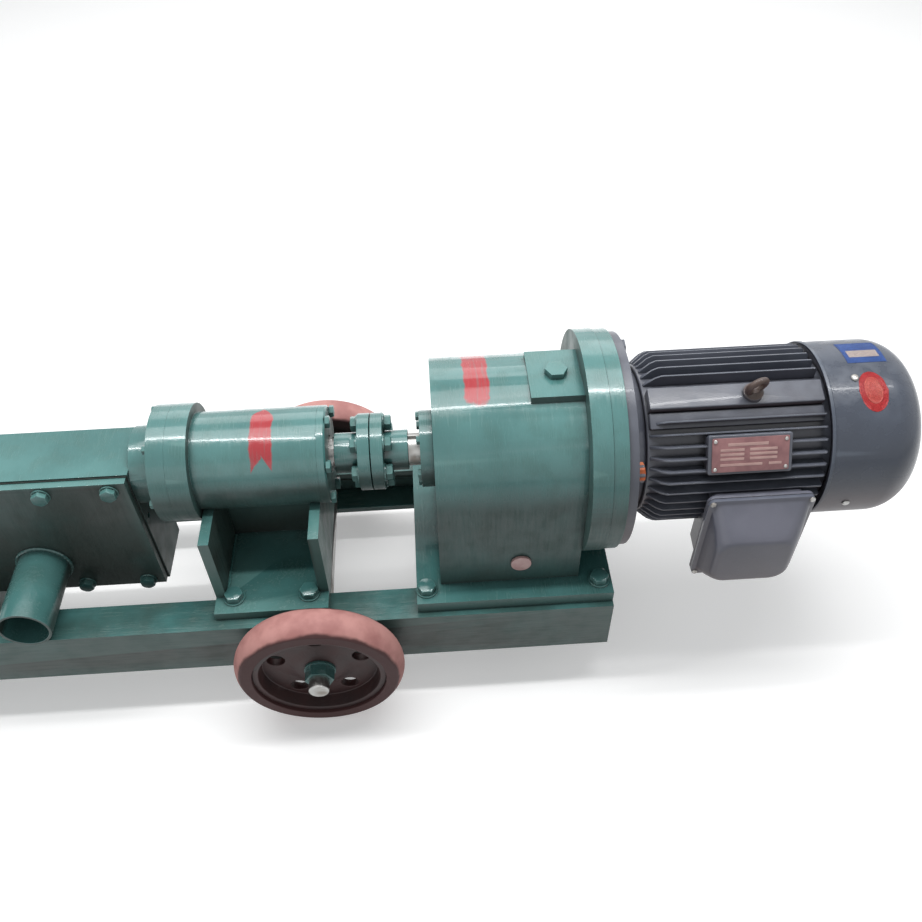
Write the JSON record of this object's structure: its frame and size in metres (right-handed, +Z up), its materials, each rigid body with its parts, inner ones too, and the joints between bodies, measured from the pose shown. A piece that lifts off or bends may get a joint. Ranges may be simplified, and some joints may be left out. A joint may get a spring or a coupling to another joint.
{
  "type": "progressive cavity pump",
  "caption": "Single-screw pump in line with a bearing housing, flange coupling, planetary gearbox and fan-cooled flange motor, on a two-wheeled channel trolley.",
  "frame": {"origin": "on the floor, under the centre of the overall box", "axes": "+X along the shaft from the discharge flange to the motor, +Y away from the side with the inlet pipe, +Z up"},
  "size_m": [1.65, 0.414, 0.4138],
  "materials": {
    "green_paint": "glossy teal-green enamel over steel and cast iron",
    "green_bolts": "enamelled hexagon bolts",
    "steel": "bare machined steel",
    "chrome_rotor": "hard chromed rotor",
    "stator_rubber": "moulded nitrile lining",
    "packing": "greased braided packing",
    "tyre_rubber": "dusty solid tyre",
    "wheel_iron": "dark maroon pressed disc",
    "motor_paint": "semi-gloss blue-grey paint on cast aluminium",
    "fan_plastic": "moulded plastic",
    "sight_glass": "clear oil sight, pink tint",
    "plate_metal": "thin stamped plate"
  },
  "bodies": {
    "frame": {"near_rail": "green_paint", "far_rail": "green_paint", "cross_members": "green_paint", "rest_legs": "green_paint", "bearing_bracket": "green_paint", "bearing_housing": "green_paint", "bearing_cover": "green_paint", "suction_chamber": "green_paint", "side_cover": "green_paint", "inlet_pipe": "green_paint", "stator_tube": "green_paint", "discharge_body": "green_paint", "stator_saddle": "green_paint", "gearbox_housing": "green_paint", "output_cover": "green_paint", "adapter_flange": "green_paint", "bracket_bolts": "green_bolts", "bearing_bolts": "green_bolts", "side_cover_bolts": "green_bolts", "stator_bolts": "green_bolts", "output_cover_bolts": "green_bolts", "foot_bolts": "green_bolts", "breather_plug": "green_bolts", "axle": "steel", "axle_nuts": "steel", "ring_gear": "steel", "flange_bolts": "steel", "bearing_outer_rings": "steel", "lifting_eye": "steel", "stator_core": "steel", "packing_gland": "steel", "stator_liner": "stator_rubber", "packing_rings": "packing", "motor_frame": "motor_paint", "motor_flange": "motor_paint", "rear_shield": "motor_paint", "fan_cowl": "motor_paint", "terminal_box_base": "motor_paint", "terminal_box_cover": "motor_paint", "cable_gland": "fan_plastic", "oil_sight": "sight_glass", "nameplate": "plate_metal"},
    "drive_line": {"pump_shaft": "steel", "bearing_inner_rings": "steel", "pump_coupling_half": "green_paint", "gearbox_coupling_half": "green_paint", "coupling_bolts": "green_bolts", "output_carrier": "steel"},
    "motor_shaft": {"motor_rotor": "steel", "cooling_fan": "fan_plastic"},
    "planet_1": {"planet_gear_1": "steel"},
    "planet_2": {"planet_gear_2": "steel"},
    "planet_3": {"planet_gear_3": "steel"},
    "rod": {"connecting_rod": "steel"},
    "rotor": {"pump_rotor": "chrome_rotor"},
    "near_wheel_set": {"near_wheel": "wheel_iron", "near_tyre": "tyre_rubber"},
    "far_wheel_set": {"far_wheel": "wheel_iron", "far_tyre": "tyre_rubber"}
  },
  "joints": [
    {"name": "drive_spin", "type": "hinge", "parent": "frame", "child": "drive_line", "pos_m": [0.208, 0, 0.282], "axis": [1, 0, 0], "continuous": true},
    {"name": "motor_spin", "type": "hinge", "parent": "frame", "child": "motor_shaft", "pos_m": [0.554, 0, 0.282], "axis": [1, 0, 0], "continuous": true},
    {"name": "rod_orbit", "type": "hinge", "parent": "frame", "child": "rod", "pos_m": [-0.104, 0, 0.282], "axis": [1, 0, 0], "continuous": true},
    {"name": "rotor_spin", "type": "hinge", "parent": "rod", "child": "rotor", "pos_m": [-0.287, 0, 0.289], "axis": [1, 0, 0], "continuous": true},
    {"name": "planet_1_spin", "type": "hinge", "parent": "drive_line", "child": "planet_1", "pos_m": [0.364, 0.054, 0.282], "axis": [1, 0, 0], "continuous": true},
    {"name": "planet_2_spin", "type": "hinge", "parent": "drive_line", "child": "planet_2", "pos_m": [0.364, -0.027, 0.32876], "axis": [1, 0, 0], "continuous": true},
    {"name": "planet_3_spin", "type": "hinge", "parent": "drive_line", "child": "planet_3", "pos_m": [0.364, -0.027, 0.23523], "axis": [1, 0, 0], "continuous": true},
    {"name": "near_wheel_spin", "type": "hinge", "parent": "frame", "child": "near_wheel_set", "pos_m": [0.132, -0.172, 0.1], "axis": [0, 1, 0], "continuous": true},
    {"name": "far_wheel_spin", "type": "hinge", "parent": "frame", "child": "far_wheel_set", "pos_m": [0.132, 0.172, 0.1], "axis": [0, 1, 0], "continuous": true}
  ],
  "couplings": [
    {"joint": "motor_spin", "follows": "drive_spin", "ratio": 4},
    {"joint": "rod_orbit", "follows": "drive_spin", "ratio": -1},
    {"joint": "rotor_spin", "follows": "drive_spin", "ratio": 2},
    {"joint": "planet_1_spin", "follows": "drive_spin", "ratio": -3},
    {"joint": "planet_2_spin", "follows": "drive_spin", "ratio": -3},
    {"joint": "planet_3_spin", "follows": "drive_spin", "ratio": -3}
  ]
}
